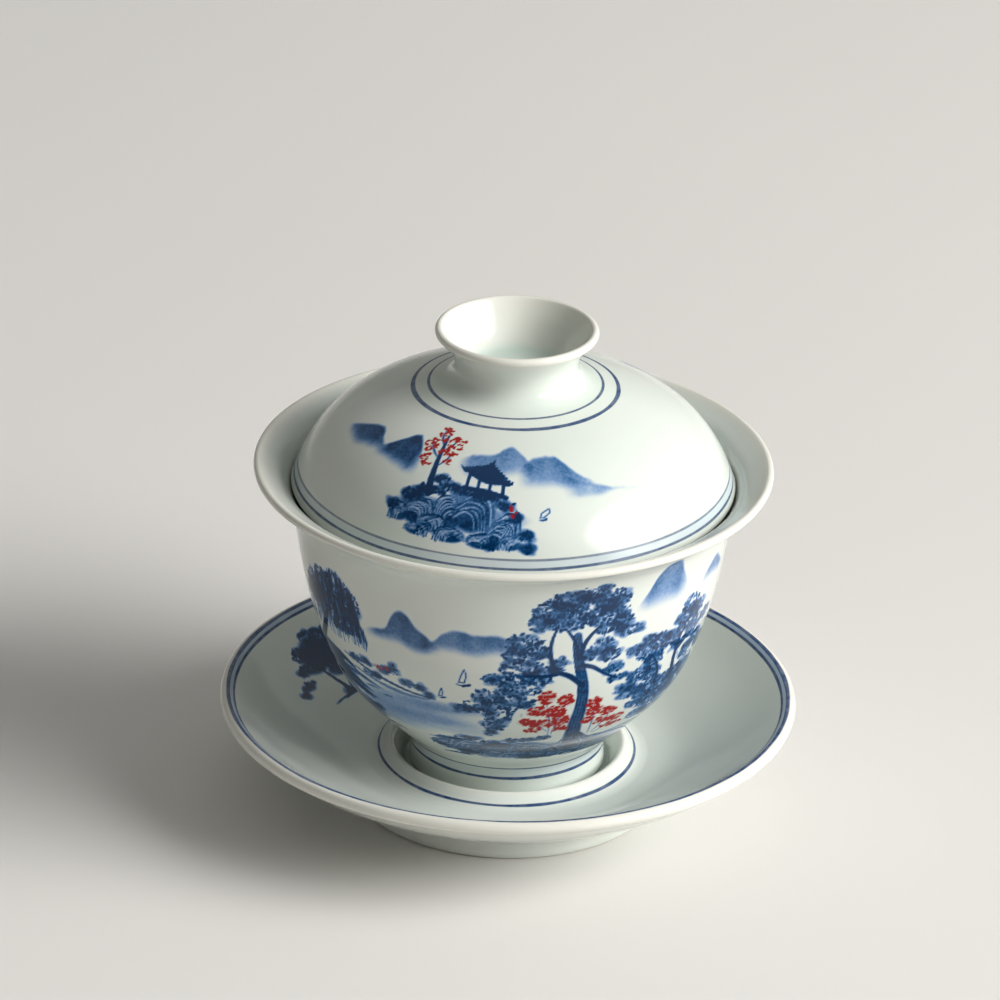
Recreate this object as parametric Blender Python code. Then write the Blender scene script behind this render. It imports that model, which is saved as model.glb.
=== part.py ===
"""A lidded porcelain tea bowl on its saucer: three turned pieces stacked on one vertical axis.

Units are metres and +Z is up.  The origin is on the common axis, in the plane of the
saucer's foot.  Outlines are (radius, height) pairs in millimetres, measured from each
piece's own foot, and run from the axis underneath, round the rim, to the axis on top.
"""
import math

import bmesh
import bpy
import numpy as np

MM = 0.001
SEGMENTS = 48

# Driving dimensions, in millimetres.
GAP = 0.30              # clearance wherever one piece rests on another
SAUCER_RIM = 58.2       # outermost radius of the saucer
SAUCER_HEIGHT = 22.4
WELL_FLOOR = 7.2        # height of the saucer's well, where the bowl stands
BOWL_RIM = 51.8         # outermost radius of the bowl's flared lip
BOWL_HEIGHT = 65.9
LID_RIM = 44.3          # outermost radius of the lid
LID_HEIGHT = 34.2
LID_DROP = 5.0          # how far the lid's lower edge sits below the bowl's crest
KNOB_RIM = 16.25

SAUCER_LIP = 1.35       # radii of the rounded lips
BOWL_LIP = 0.85
LID_EDGE = 0.90
KNOB_LIP = 0.85

BOWL_SEAT = WELL_FLOOR + GAP
LID_SEAT = BOWL_HEIGHT - LID_DROP


def arc(centre, radius, start, end, steps):
    """Points of a circle from the start angle to the end angle, in degrees."""
    angles = np.radians(np.linspace(start, end, steps + 1))
    return [(centre[0] + radius * math.cos(a), centre[1] + radius * math.sin(a)) for a in angles]


def spline(stations, steps):
    """Points of a natural cubic through the stations, with this many steps in each span."""
    knots = np.array(stations, dtype=float)
    chord = np.linalg.norm(np.diff(knots, axis=0), axis=1)
    count = len(knots)
    system = np.eye(count)
    bend = np.zeros((count, 2))
    for i in range(1, count - 1):
        before, after = chord[i - 1], chord[i]
        system[i, i - 1:i + 2] = before, 2.0 * (before + after), after
        bend[i] = 6.0 * ((knots[i + 1] - knots[i]) / after - (knots[i] - knots[i - 1]) / before)
    curve = np.linalg.solve(system, bend)
    points = []
    for i in range(count - 1):
        length = chord[i]
        for k in range(steps):
            t = length * k / steps
            left, right = length - t, t
            point = (curve[i] * left ** 3 + curve[i + 1] * right ** 3) / (6.0 * length)
            point += (knots[i] / length - curve[i] * length / 6.0) * left
            point += (knots[i + 1] / length - curve[i + 1] * length / 6.0) * right
            points.append((float(point[0]), float(point[1])))
    points.append((float(knots[-1][0]), float(knots[-1][1])))
    return points


def join(*stretches):
    """One outline from several stretches, with points that repeat left out."""
    outline = []
    for stretch in stretches:
        for point in stretch:
            if not outline or math.dist(point, outline[-1]) > 0.02:
                outline.append(point)
    return outline


def saucer_outline():
    foot = [(0.0, 3.8), (25.4, 3.8), (27.4, 3.0), (28.2, 0.8), (28.9, 0.0), (30.5, 0.0), (31.1, 0.6)]
    lip_centre = (SAUCER_RIM - SAUCER_LIP, SAUCER_HEIGHT - SAUCER_LIP)
    lip = arc(lip_centre, SAUCER_LIP, -60.0, 114.0, 6)
    under = spline([foot[-1], (31.6, 4.0), (33.4, 5.8), (42.0, 9.9), (51.0, 15.0), lip[0]], 1)
    dish = spline([lip[-1], (55.1, 21.3), (50.5, 17.6), (42.0, 12.7), (33.5, 9.5), (28.6, 8.9)], 1)
    ridge = spline([dish[-1], (26.0, 9.6), (23.7, 11.4), (21.7, 9.2), (20.6, WELL_FLOOR)], 2)
    return join(foot, under, lip, dish, ridge, [(0.0, WELL_FLOOR)])


def bowl_outline():
    foot = [(0.0, 5.8), (14.4, 5.4), (16.8, 3.8), (17.4, 0.5), (17.9, 0.0), (19.2, 0.0), (19.8, 0.6)]
    lip_centre = (BOWL_RIM - BOWL_LIP, BOWL_HEIGHT - BOWL_LIP)
    lip = arc(lip_centre, BOWL_LIP, -62.0, 116.0, 5)
    belly = [(20.7, 7.6), (23.2, 10.2), (28.4, 15.4), (34.2, 22.2), (38.2, 30.6), (40.9, 39.5)]
    flare = [(42.7, 48.4), (43.9, 55.2), (45.7, 60.0), (48.4, 62.8), lip[0]]
    outside = spline([foot[-1]] + belly + flare, 1)
    throat = [(48.6, 64.7), (46.3, 63.4), (44.7, 61.5), (43.3, 58.4), (41.3, 49.8)]
    hollow = [(38.6, 38.0), (34.6, 27.0), (28.2, 18.2), (20.0, 12.4), (10.0, 10.0), (0.0, 9.5)]
    inside = spline([lip[-1]] + throat + hollow, 1)
    return join(foot, outside, lip, inside)


def lid_outline():
    edge_centre = (LID_RIM - LID_EDGE, LID_EDGE)
    edge = arc(edge_centre, LID_EDGE, 180.0, 360.0, 5)
    vault = spline([(0.0, 20.9), (10.0, 20.5), (20.0, 18.8), (30.0, 14.6), (38.0, 8.4), (41.6, 3.6), edge[0]], 1)
    dome = spline([edge[-1], (43.0, 4.0), (40.0, 9.3), (33.5, 15.6), (25.5, 19.7), (17.3, 22.2)], 1)
    neck = [(14.3, 23.2), (12.4, 25.4), (12.6, 28.4), (14.4, 31.2)]
    lip_centre = (KNOB_RIM - KNOB_LIP, LID_HEIGHT - KNOB_LIP)
    lip = arc(lip_centre, KNOB_LIP, -50.0, 140.0, 5)
    knob = spline([dome[-1]] + neck + [lip[0]], 1)
    cup = spline([lip[-1], (12.9, 31.0), (10.9, 28.0), (8.6, 26.0), (5.0, 25.4), (0.0, 25.3)], 1)
    return join(vault, edge, dome, knob, lip, cup)


def turned_mesh(name, outline):
    """A closed body of revolution from an outline that starts and ends on the axis."""
    bm = bmesh.new()
    rings = []
    for radius, height in outline:
        if radius < 1e-6:
            rings.append([bm.verts.new((0.0, 0.0, height * MM))])
            continue
        ring = []
        for k in range(SEGMENTS):
            angle = 2.0 * math.pi * k / SEGMENTS
            ring.append(bm.verts.new((radius * MM * math.cos(angle), radius * MM * math.sin(angle), height * MM)))
        rings.append(ring)
    for lower, upper in zip(rings, rings[1:]):
        for k in range(SEGMENTS):
            after = (k + 1) % SEGMENTS
            if len(lower) == 1:
                bm.faces.new((lower[0], upper[after], upper[k]))
            elif len(upper) == 1:
                bm.faces.new((lower[k], lower[after], upper[0]))
            else:
                bm.faces.new((lower[k], lower[after], upper[after], upper[k]))
    bmesh.ops.recalc_face_normals(bm, faces=bm.faces)
    mesh = bpy.data.meshes.new(name)
    bm.to_mesh(mesh)
    bm.free()
    mesh.shade_smooth()
    return mesh


def porcelain(name, colour, roughness):
    """Glazed porcelain: a hard white body under a thin clear glaze."""
    material = bpy.data.materials.new(name)
    material.use_nodes = True
    shader = material.node_tree.nodes["Principled BSDF"]
    shader.inputs["Base Color"].default_value = (*colour, 1.0)
    shader.inputs["Roughness"].default_value = roughness
    shader.inputs["Metallic"].default_value = 0.0
    material.diffuse_color = (*colour, 1.0)
    return material


def turned_piece(name, outline, material, height, parent=None):
    """A turned piece whose origin is on the common axis, at its own foot."""
    piece = bpy.data.objects.new(name, turned_mesh(name, outline))
    piece.data.materials.append(material)
    piece.location = (0.0, 0.0, height * MM)
    piece.parent = parent
    bpy.context.scene.collection.objects.link(piece)
    return piece


def main():
    for old in list(bpy.data.objects):
        bpy.data.objects.remove(old, do_unlink=True)
    saucer_glaze = porcelain("saucer_porcelain", (0.74, 0.76, 0.73), 0.12)
    bowl_glaze = porcelain("bowl_porcelain", (0.72, 0.75, 0.76), 0.10)
    lid_glaze = porcelain("lid_porcelain", (0.76, 0.78, 0.77), 0.10)
    saucer = turned_piece("saucer", saucer_outline(), saucer_glaze, 0.0)
    bowl = turned_piece("bowl", bowl_outline(), bowl_glaze, BOWL_SEAT, saucer)
    turned_piece("lid", lid_outline(), lid_glaze, LID_SEAT, bowl)


main()
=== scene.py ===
"""A lidded porcelain tea bowl on its saucer, painted under the glaze with a cobalt landscape.

Each piece is a fine body of revolution in glazed porcelain.  Its painting is brushed in code
onto the rings and columns of its mesh, as amounts of pigment, and the material turns those
amounts into colour.  Outlines are (radius, height) pairs in millimetres from each piece's own
foot.  Angles are in degrees: 0 faces -Y, the side with the great pine, and 90 faces +X.
"""
import math

import bpy
import numpy as np
from mathutils import Matrix, Vector


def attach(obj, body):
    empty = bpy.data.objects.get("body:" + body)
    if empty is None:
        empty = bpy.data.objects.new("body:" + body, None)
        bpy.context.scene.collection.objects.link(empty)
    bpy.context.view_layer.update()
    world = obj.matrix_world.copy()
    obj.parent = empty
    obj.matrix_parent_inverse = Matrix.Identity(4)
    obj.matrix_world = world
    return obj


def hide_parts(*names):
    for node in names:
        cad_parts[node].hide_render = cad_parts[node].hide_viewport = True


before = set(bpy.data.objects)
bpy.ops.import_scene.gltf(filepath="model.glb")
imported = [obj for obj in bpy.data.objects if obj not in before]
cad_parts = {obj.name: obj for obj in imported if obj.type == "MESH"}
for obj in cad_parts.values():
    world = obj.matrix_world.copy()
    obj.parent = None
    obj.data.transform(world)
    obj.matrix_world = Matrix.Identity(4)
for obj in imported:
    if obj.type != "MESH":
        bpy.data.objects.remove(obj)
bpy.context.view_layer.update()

MM = 0.001

# -------- dimensions, in millimetres
SAUCER_RIM, SAUCER_HEIGHT, SAUCER_LIP, WELL_FLOOR = 58.2, 22.4, 1.35, 7.2
BOWL_RIM, BOWL_HEIGHT, BOWL_LIP = 51.8, 65.9, 0.85
LID_RIM, LID_HEIGHT, LID_EDGE, LID_DROP = 44.3, 34.2, 0.90, 5.0
KNOB_RIM, KNOB_LIP = 16.25, 0.85
FOOT_GAP = 0.30          # between the bowl's foot and the floor of the saucer's well
BOWL_SEAT = WELL_FLOOR + FOOT_GAP
LID_SEAT = BOWL_HEIGHT - LID_DROP

SAUCER_SEED, BOWL_SEED, LID_SEED = 11, 5, 8    # the chance draws of each piece's painting

COLUMNS = 960           # mesh columns round each piece
FINE = 0.27             # ring spacing where there is painting
PLAIN = 1.1             # ring spacing elsewhere
TIGHT = 0.16            # ring spacing round the lips

# -------- camera and light
AIM = (-0.00256, 0.0, 0.0647)
CAMERA_DISTANCE = 1.397
CAMERA_ELEVATION = 25.5
CAMERA_ROLL = 1.42
CAMERA_LENS = 252.0
CAMERA_SENSOR = 36.0
KEY_PLACE, KEY_AIM, KEY_SIZE = (1.80, -0.62, 1.14), (0.0, 0.0, 0.03), (2.3, 1.5)
KEY_STRENGTH, KEY_COLOUR = 17.0, (1.0, 0.98, 0.96)
KEY_EVEN = 0.45         # the share of the key panel's half-width that glows evenly
SKY_TOWARDS, SKY_BRIGHT, SKY_COLOUR = (0.30, 0.50, 0.80), 0.48, (0.98, 0.99, 0.95, 1.0)
FLOOR_SIDES = 96
FLOOR_TONES = ((0.3, (0.72, 0.705, 0.685)), (0.7, (0.75, 0.735, 0.712)))


# ======== outlines
def arc(centre, radius, start, end):
    """Points of a circle from the start angle to the end angle, in degrees."""
    steps = max(4, math.ceil(math.radians(abs(end - start)) * radius / TIGHT))
    angles = np.radians(np.linspace(start, end, steps + 1))
    return [(centre[0] + radius * math.cos(a), centre[1] + radius * math.sin(a)) for a in angles]


def spline(stations, spacing):
    """Points of a natural cubic through the stations, about this far apart."""
    knots = np.array(stations, dtype=float)
    chord = np.linalg.norm(np.diff(knots, axis=0), axis=1)
    count = len(knots)
    system = np.eye(count)
    bend = np.zeros((count, 2))
    for i in range(1, count - 1):
        before, after = chord[i - 1], chord[i]
        system[i, i - 1:i + 2] = before, 2.0 * (before + after), after
        bend[i] = 6.0 * ((knots[i + 1] - knots[i]) / after - (knots[i] - knots[i - 1]) / before)
    curve = np.linalg.solve(system, bend)
    points = []
    for i in range(count - 1):
        length = chord[i]
        steps = max(1, math.ceil(length / spacing))
        for k in range(steps):
            t = length * k / steps
            left, right = length - t, t
            point = (curve[i] * left ** 3 + curve[i + 1] * right ** 3) / (6.0 * length)
            point += (knots[i] / length - curve[i] * length / 6.0) * left
            point += (knots[i + 1] / length - curve[i + 1] * length / 6.0) * right
            points.append((float(point[0]), float(point[1])))
    points.append((float(knots[-1][0]), float(knots[-1][1])))
    return points


def eased(corners, ease, spacing):
    """Straight runs between the corners, with each inner corner rounded off over the ease."""
    corners = [np.array(c, dtype=float) for c in corners]
    points = [corners[0]]
    for before, corner, after in zip(corners, corners[1:], corners[2:]):
        back, ahead = before - corner, after - corner
        reach_back = min(ease, 0.45 * np.linalg.norm(back))
        reach_ahead = min(ease, 0.45 * np.linalg.norm(ahead))
        start = corner + back / np.linalg.norm(back) * reach_back
        end = corner + ahead / np.linalg.norm(ahead) * reach_ahead
        points += straight(points[-1], start, spacing)[1:]
        for t in (0.25, 0.5, 0.75, 1.0):
            points.append(start * (1 - t) ** 2 + corner * 2 * t * (1 - t) + end * t ** 2)
    points += straight(points[-1], corners[-1], spacing)[1:]
    return [(float(p[0]), float(p[1])) for p in points]


def straight(start, end, spacing):
    steps = max(1, math.ceil(np.linalg.norm(end - start) / spacing))
    return [start + (end - start) * k / steps for k in range(steps + 1)]


def join(*stretches):
    """One outline from several stretches, with points that repeat left out."""
    outline = []
    for stretch in stretches:
        for point in stretch:
            if not outline or math.dist(point, outline[-1]) > 0.02:
                outline.append(point)
    return np.array(outline)


def saucer_outline():
    foot = [(0, 3.8), (25.4, 3.8), (27.4, 3), (28.2, 0.8), (28.9, 0), (30.5, 0), (31.1, 0.6)]
    lip_centre = (SAUCER_RIM - SAUCER_LIP, SAUCER_HEIGHT - SAUCER_LIP)
    lip = arc(lip_centre, SAUCER_LIP, -60, 114)
    under = spline([foot[-1], (31.6, 4), (33.4, 5.8), (42, 9.9), (51, 15), lip[0]], PLAIN)
    dish = spline([lip[-1], (55.1, 21.3), (50.5, 17.6), (42, 12.7), (33.5, 9.5), (28.6, 8.9)], 0.4)
    ridge = spline([dish[-1], (26, 9.6), (23.7, 11.4), (21.7, 9.2), (20.6, WELL_FLOOR)], 0.25)
    well = spline([ridge[-1], (10, WELL_FLOOR), (0, WELL_FLOOR)], PLAIN)
    return join(eased(foot, 0.35, PLAIN), under, lip, dish, ridge, well)


def bowl_outline():
    foot = [(0, 5.8), (14.4, 5.4), (16.8, 3.8), (17.4, 0.5), (17.9, 0), (19.2, 0), (19.8, 0.6)]
    lip_centre = (BOWL_RIM - BOWL_LIP, BOWL_HEIGHT - BOWL_LIP)
    lip = arc(lip_centre, BOWL_LIP, -62, 116)
    belly = [(20.7, 7.6), (23.2, 10.2), (28.4, 15.4), (34.2, 22.2), (38.2, 30.6), (40.9, 39.5)]
    flare = [(42.7, 48.4), (43.9, 55.2), (45.7, 60), (48.4, 62.8), lip[0]]
    outside = spline([foot[-1]] + belly + flare, FINE)
    throat = [(48.6, 64.7), (46.3, 63.4), (44.7, 61.5), (43.3, 58.4), (41.3, 49.8)]
    hollow = [(38.6, 38), (34.6, 27), (28.2, 18.2), (20, 12.4), (10, 10), (0, 9.5)]
    inside = spline([lip[-1]] + throat + hollow, PLAIN)
    return join(eased(foot, 0.3, PLAIN), outside, lip, inside)


def lid_outline():
    edge_centre = (LID_RIM - LID_EDGE, LID_EDGE)
    edge = arc(edge_centre, LID_EDGE, 180, 360)
    vault = [(0, 20.9), (10, 20.5), (20, 18.8), (30, 14.6), (38, 8.4), (41.6, 3.6), edge[0]]
    dome = [edge[-1], (43, 4), (40, 9.3), (33.5, 15.6), (25.5, 19.7), (17.3, 22.2)]
    neck = [dome[-1], (14.3, 23.2), (12.4, 25.4), (12.6, 28.4), (14.4, 31.2)]
    lip = arc((KNOB_RIM - KNOB_LIP, LID_HEIGHT - KNOB_LIP), KNOB_LIP, -50, 140)
    cup = [lip[-1], (12.9, 31), (10.9, 28), (8.6, 26), (5, 25.4), (0, 25.3)]
    return join(spline(vault, PLAIN), edge, spline(dome, FINE), spline(neck + [lip[0]], 0.4), lip,
                spline(cup, 0.5))


# ======== turned meshes
def lengths_along(outline):
    """How far along the outline each of its points is, in millimetres."""
    steps = np.linalg.norm(np.diff(outline, axis=0), axis=1)
    return np.concatenate([[0.0], np.cumsum(steps)])


def turned_mesh(name, outline):
    """A closed body of revolution from an outline that starts and ends on the axis."""
    turns = np.radians(np.arange(COLUMNS) * 360.0 / COLUMNS)
    rings = outline[1:-1]
    across = rings[:, 0, None] * np.sin(turns)[None, :]
    depth = -rings[:, 0, None] * np.cos(turns)[None, :]
    height = np.repeat(rings[:, 1, None], COLUMNS, axis=1)
    body = np.stack([across, depth, height], axis=-1).reshape(-1, 3)
    poles = np.array([[0.0, 0.0, outline[0][1]], [0.0, 0.0, outline[-1][1]]])
    first, last = len(body), len(body) + 1
    near = np.arange(COLUMNS)
    after = (near + 1) % COLUMNS
    base = (np.arange(len(rings) - 1) * COLUMNS)[:, None]
    quads = np.stack([base + near, base + after, base + COLUMNS + after, base + COLUMNS + near], axis=-1)
    top = (len(rings) - 1) * COLUMNS
    bottom_fan = np.stack([np.full(COLUMNS, first), after, near], axis=-1)
    top_fan = np.stack([np.full(COLUMNS, last), top + near, top + after], axis=-1)
    faces = quads.reshape(-1, 4).tolist() + bottom_fan.tolist() + top_fan.tolist()
    mesh = bpy.data.meshes.new(name)
    mesh.from_pydata((np.concatenate([body, poles]) * MM).tolist(), [], faces)
    mesh.update()
    mesh.shade_smooth()
    return mesh


def store(mesh, name, rows):
    """Keeps a value for each ring, or for each ring and column, as an attribute of the mesh's points."""
    rows = np.asarray(rows, dtype=np.float32)
    if rows.ndim == 1:
        rows = np.repeat(rows[:, None], COLUMNS, axis=1)
    values = np.concatenate([rows[1:-1].ravel(), [rows[0].mean(), rows[-1].mean()]])
    layer = mesh.attributes.new(name, "FLOAT", "POINT")
    layer.data.foreach_set("value", values.astype(np.float32))


# ======== brushes
def smooth_path(points, per_span=8):
    """Points of a Catmull-Rom curve through these points."""
    knots = np.array(points, dtype=float)
    if len(knots) < 3:
        return np.array([knots[0] + (knots[-1] - knots[0]) * t for t in np.linspace(0, 1, per_span + 1)])
    padded = np.concatenate([[2 * knots[0] - knots[1]], knots, [2 * knots[-1] - knots[-2]]])
    path = []
    for i in range(1, len(padded) - 2):
        a, b, c, d = padded[i - 1:i + 3]
        for t in np.arange(per_span) / per_span:
            path.append(0.5 * (2 * b + (c - a) * t + (2 * a - 5 * b + 4 * c - d) * t ** 2
                               + (3 * b - 3 * c + d - a) * t ** 3))
    path.append(knots[-1])
    return np.array(path)


def ramp_down(distance, edge, soft):
    """1 well inside the edge and 0 well outside it, with a smooth change in between."""
    t = np.clip((edge + soft - distance) / (2.0 * soft), 0.0, 1.0)
    return t * t * (3.0 - 2.0 * t)


class Canvas:
    """Pigment on the painted stretch of a turned piece.

    A place is (angle, level).  The level is whatever the piece is measured by: the bowl's
    height or the lid's and saucer's radius, in millimetres.  Brush sizes are real millimetres
    on the surface, and a brush's tilt is in degrees from level, turning anticlockwise.
    """

    def __init__(self, outline, level_column, first, last, seed):
        self.radius = outline[:, 0]
        self.track = lengths_along(outline)
        self.span = (first, last)
        levels = outline[first:last + 1, level_column]
        order = np.argsort(levels)
        self.levels = levels[order]
        self.level_tracks = self.track[first:last + 1][order]
        self.step = 360.0 / COLUMNS
        self.cobalt = np.zeros((len(outline), COLUMNS))
        self.red = np.zeros((len(outline), COLUMNS))
        self.chance = np.random.default_rng(seed)

    def at(self, level):
        return float(np.interp(level, self.levels, self.level_tracks))

    def radius_at(self, track):
        first, last = self.span
        return float(np.interp(track, self.track[first:last + 1], self.radius[first:last + 1]))

    def moved(self, angle, track, right, up):
        """The place this many millimetres to the right of, and above, a place on the track."""
        radius = self.radius_at(track + up)
        return angle + math.degrees(right / max(radius, 1.0)), track + up

    def patch(self, angle, track, reach):
        """The rings and columns near a place, and how far each point is to its right and above it."""
        low, high = np.searchsorted(self.track, (track - reach, track + reach))
        low, high = max(low, self.span[0]), min(high, self.span[1] + 1)
        rows = np.arange(low, high)
        radius = max(self.radius_at(track - reach), 1.0)
        radius = min(radius, max(self.radius_at(track + reach), 1.0))
        half = int(math.degrees(reach / radius) / self.step) + 2
        centre = int(round(angle / self.step))
        columns = np.arange(centre - half, centre + half + 1)
        right = np.radians(columns * self.step - angle)[None, :] * self.radius[rows][:, None]
        up = (self.track[rows] - track)[:, None]
        return np.ix_(rows, columns % COLUMNS), right, up

    def dab(self, layer, angle, track, long, wide, tilt, strength, soft=0.25, lay="over"):
        """One touch of the brush: an ellipse with its long half-axis along the tilt."""
        spot, right, up = self.patch(angle, track, max(long, wide) * (1.0 + soft) + 0.3)
        turn = math.radians(tilt)
        along = (right * math.cos(turn) + up * math.sin(turn)) / long
        aside = (up * math.cos(turn) - right * math.sin(turn)) / wide
        cover = strength * ramp_down(np.sqrt(along ** 2 + aside ** 2), 1.0, soft)
        self.lay(layer, spot, cover, lay)

    @staticmethod
    def lay(layer, spot, cover, way):
        if way == "over":
            layer[spot] += cover * np.clip(1.0 - layer[spot], 0.0, 1.0)
        elif way == "most":
            layer[spot] = np.maximum(layer[spot], cover)
        elif way == "lift":
            layer[spot] *= 1.0 - cover

    def line(self, places, width, strength, soft=0.12, lay="most", taper=(0.4, 1.0, 0.3)):
        """A cobalt line through the places.  The taper is its relative width at start, middle and end."""
        path = smooth_path([(angle, self.at(level)) for angle, level in places])
        self.track_line(path, width, strength, soft, lay, taper)

    def track_line(self, path, width, strength, soft=0.12, lay="most", taper=(0.4, 1.0, 0.3)):
        sizes = np.interp(np.linspace(0, 1, len(path)), (0.0, 0.5, 1.0), taper) * width / 2.0
        for (angle, track), (end_angle, end_track), size in zip(path, path[1:], sizes):
            radius = max(self.radius_at(track), 1.0)
            run = math.radians(end_angle - angle) * radius
            rise = end_track - track
            length = math.hypot(run, rise)
            middle = ((angle + end_angle) / 2.0, (track + end_track) / 2.0)
            spot, right, up = self.patch(*middle, length / 2.0 + size + soft + 0.3)
            unit = (run / length, rise / length) if length > 1e-6 else (1.0, 0.0)
            along = np.clip(right * unit[0] + up * unit[1], -length / 2.0, length / 2.0)
            distance = np.hypot(right - along * unit[0], up - along * unit[1])
            self.lay(self.cobalt, spot, strength * ramp_down(distance, size, soft), lay)

    def wash(self, angle, level, wide, tall, strength, tilt=0.0, soft=0.7, lay="over"):
        self.dab(self.cobalt, angle, self.at(level), wide, tall, tilt, strength, soft, lay)

    def washes(self, places, *look):
        """A wash at each of these (angle, level, wide, tall, strength) places."""
        for place in places:
            self.wash(*place, *look)

    def drift(self, angles, pitch):
        """A smooth chance value about zero for each angle, changing over about this many degrees."""
        knots = np.arange(angles[0] - 2.0 * pitch, angles[-1] + 3.0 * pitch, pitch)
        heights = np.clip(self.chance.normal(0.0, 0.6, len(knots)), -1.2, 1.2)
        place = (angles - knots[0]) / pitch
        index = place.astype(int)
        share = place - index
        share = share * share * (3.0 - 2.0 * share)
        return heights[index] * (1.0 - share) + heights[index + 1] * share

    def hill(self, crest, base, strength, bite=0.55, mist=1.6):
        """A far hill: an even wash between a soft crest and the mist that lies at the base level."""
        path = smooth_path([(angle, self.at(level)) for angle, level in crest])
        columns = np.arange(int(path[0][0] / self.step), int(path[-1][0] / self.step) + 1)
        angles = columns * self.step
        top = np.interp(angles, path[:, 0], path[:, 1]) + 0.14 * self.drift(angles, 1.7)
        floor = self.at(base) + 0.9 * self.drift(angles, 6.0)
        low, high = np.searchsorted(self.track, (floor.min() - mist - 1.0, top.max() + 1.0))
        rows = np.arange(max(low, self.span[0]), min(high, self.span[1] + 1))
        below = top[None, :] - self.track[rows][:, None]
        sunk = floor[None, :] - self.track[rows][:, None]
        depth = 1.12 - 0.04 * np.clip(below, 0.0, 8.0)
        tone = strength * (1.0 + 0.18 * self.drift(angles, 3.0))[None, :] * depth
        ends = np.clip(np.minimum(angles - angles[0], angles[-1] - angles) / 5.0, 0.0, 1.0)
        cover = tone * ramp_down(-below, 0.0, bite) * ramp_down(sunk, 0.0, mist) * ends[None, :] ** 1.5
        self.lay(self.cobalt, np.ix_(rows, columns % COLUMNS), cover, "over")

    def foliage(self, angle, level, wide, tall, tilt=0.0, body=0.56, leaves=2.9, dark=(0.55, 1.0), leaf=0.42):
        """A pad of needles: a mid-blue body with a lobed edge, broken up by many dark leaf dabs."""
        draw = self.chance.uniform
        track = self.at(level)
        turn = math.radians(tilt)
        for _ in range(int(5 + 1.1 * wide * tall)):
            right, up = self.inside(wide * 0.92, tall * 0.92, turn)
            self.dab(self.cobalt, *self.moved(angle, track, right, up), draw(0.8, 1.5), draw(0.5, 0.9),
                     draw(-25, 25), body * 0.55, 0.35)
        for _ in range(int(leaves * math.pi * wide * tall)):
            right, up = self.inside(wide, tall, turn)
            size = draw(0.6, 1.35) * leaf
            self.dab(self.cobalt, *self.moved(angle, track, right, up), size, size * draw(0.4, 0.75),
                     draw(0, 180), draw(*dark), 0.3, "most")

    def pads(self, places, **look):
        """Foliage at each of these (angle, level, wide, tall) places."""
        for place in places:
            self.foliage(*place, **look)

    def inside(self, wide, tall, turn):
        """A chance offset within a tilted ellipse, a little thicker towards its edge."""
        swing = self.chance.uniform(0.0, 2.0 * math.pi)
        reach = self.chance.uniform(0.0, 1.0) ** 0.45
        right, up = wide * reach * math.cos(swing), tall * reach * math.sin(swing)
        return right * math.cos(turn) - up * math.sin(turn), right * math.sin(turn) + up * math.cos(turn)

    def red_leaves(self, angle, level, wide, tall, count, size, strength):
        draw = self.chance.uniform
        track = self.at(level)
        for _ in range(count):
            right, up = self.inside(wide, tall, 0.0)
            self.dab(self.red, *self.moved(angle, track, right, up), size * draw(0.7, 1.4),
                     size * draw(0.5, 0.8), draw(-60, 60), draw(*strength), 0.3)

    def rock(self, angle, level, wide, tall, tone=0.6, strokes=6, dark=(0.75, 1.0), pale=0.5, way=1):
        """A rock: dark and pale strokes side by side that climb from one foot and fall over its brow."""
        track = self.at(level)
        self.dab(self.cobalt, angle, track - 0.05 * tall, wide, 0.9 * tall, 0.0, tone, 0.18, "most")
        for k in range(2 * strokes + 1):
            share = k / (2.0 * strokes)
            kind, amount = ("most", self.chance.uniform(*dark)) if k % 2 == 0 else ("lift", pale)
            shape = ((-0.95 + 0.25 * share, -0.45 + 0.95 * share),
                     (-0.45 + 0.5 * share, -0.12 + 1.08 * share),
                     (-0.02 + 0.8 * share, -0.3 + 0.92 * share), (0.05 + 0.95 * share, -0.95))
            jolt = self.chance.normal(0.0, 0.05, (len(shape), 2))
            path = [self.moved(angle, track, way * wide * (x + a), tall * (y + b))
                    for (x, y), (a, b) in zip(shape, jolt)]
            self.track_line(smooth_path(path, 5), self.chance.uniform(0.3, 0.55), amount, 0.16, kind,
                            (0.5, 1.0, 0.35))

    def rocks(self, places, *look):
        """A rock at each of these (angle, level, wide, tall) places."""
        for place in places:
            self.rock(*place, *look)

    def boat(self, angle, level, size, lean=0.25):
        """A small boat under sail: a short hull, a mast and a narrow sail."""
        track = self.at(level)
        hull = [self.moved(angle, track, x * size, y * size)
                for x, y in ((-0.45, 0.05), (0.0, -0.05), (0.5, 0.1))]
        self.track_line(np.array(hull), 0.16 * size + 0.12, 0.95)
        sail = [(-0.3, 0.25), (-0.1, 0.9), (lean, 1.5), (lean + 0.14, 1.0), (0.12, 0.28), (-0.3, 0.25)]
        for start, end in zip(sail, sail[1:]):
            edge = np.array([self.moved(angle, track, x * size, y * size) for x, y in (start, end)])
            self.track_line(edge, 0.2, 0.8, taper=(1, 1, 1))


# ======== the bowl's landscape
def paint_bowl(canvas):
    """The landscape round the bowl, from the far things to the near ones."""
    bowl_far_hills(canvas)
    bowl_far_shore(canvas)
    bowl_willow(canvas)
    bowl_left_bank(canvas)
    bowl_near_ground(canvas)
    bowl_great_pine(canvas)
    bowl_right_grove(canvas)
    bowl_back(canvas)
    canvas.boat(-13, 35.2, 2.8, 0.15)
    canvas.boat(-20, 31.2, 1.7, 0.15)


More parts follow.
